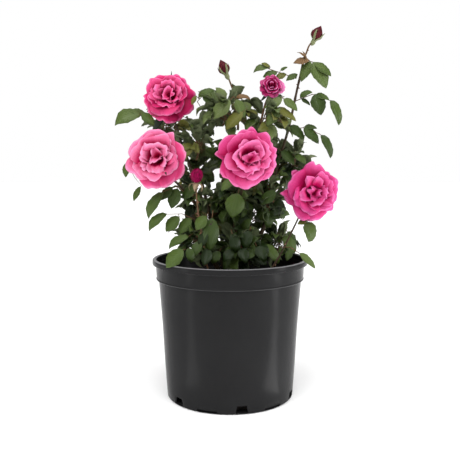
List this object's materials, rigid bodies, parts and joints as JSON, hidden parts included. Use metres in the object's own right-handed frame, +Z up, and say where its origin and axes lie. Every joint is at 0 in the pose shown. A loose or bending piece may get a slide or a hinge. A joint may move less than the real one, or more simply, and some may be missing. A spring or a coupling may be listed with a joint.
{
  "type": "potted rose bush",
  "caption": "Bushy garden rose with open double blooms and pointed buds, growing in a round nursery pot with a rolled rim and drain notches.",
  "frame": {"origin": "centre of the pot's flat underside", "axes": "+Z up through the pot's axis, -Y towards the front of the bush, +X to its right as seen from the front"},
  "size_m": [0.4037, 0.3226, 0.662],
  "materials": {
    "pot_plastic": "satin",
    "potting_mix": "matte",
    "green_cane": "satin",
    "young_stem": "satin",
    "foliage": "matte",
    "petals": "matte",
    "bud": "matte"
  },
  "bodies": {
    "root": {"back_left_low_mass": "foliage", "back_left_mid_mass": "foliage", "back_left_spray": "foliage", "back_right_low_mass": "foliage", "back_right_mid_mass": "foliage", "back_right_spray": "foliage", "bloom_back_centre": "petals", "bloom_back_left": "petals", "bloom_centre": "petals", "bloom_half_open": "petals", "bloom_left": "petals", "bloom_right": "petals", "bloom_upper_left": "petals", "bud_centre": "bud", "bud_low": "bud", "bud_top": "bud", "bud_union": "green_cane", "cane_back_left": "green_cane", "cane_back_right": "green_cane", "cane_centre": "green_cane", "cane_left": "green_cane", "cane_right": "green_cane", "cane_tall": "green_cane", "foot_centre_mass": "foliage", "foot_left_mass": "foliage", "foot_right_mass": "foliage", "left_drop_spray": "foliage", "left_hanging_spray": "foliage", "left_low_spray": "foliage", "left_rim_leaf": "foliage", "left_spray": "foliage", "mid_centre_mass": "foliage", "mid_left_mass": "foliage", "mid_right_mass": "foliage", "pot": "pot_plastic", "potting_mix": "potting_mix", "right_drop_spray": "foliage", "right_lower_spray": "foliage", "right_rim_leaf": "foliage", "right_upper_spray": "foliage", "stem_back_centre_bloom": "green_cane", "stem_back_left_bloom": "green_cane", "stem_centre_bloom": "green_cane", "stem_centre_bud": "young_stem", "stem_half_open_bloom": "young_stem", "stem_left_bloom": "green_cane", "stem_low_bud": "young_stem", "stem_right_bloom": "green_cane", "stem_top_bud": "young_stem", "stem_upper_left_bloom": "green_cane", "top_bud_spray": "foliage", "top_centre_mass": "foliage", "top_left_spray": "foliage", "top_right_mass": "foliage", "top_right_spray": "foliage", "upper_centre_mass": "foliage", "upper_left_mass": "foliage", "upper_right_mass": "foliage"}
  },
  "joints": []
}
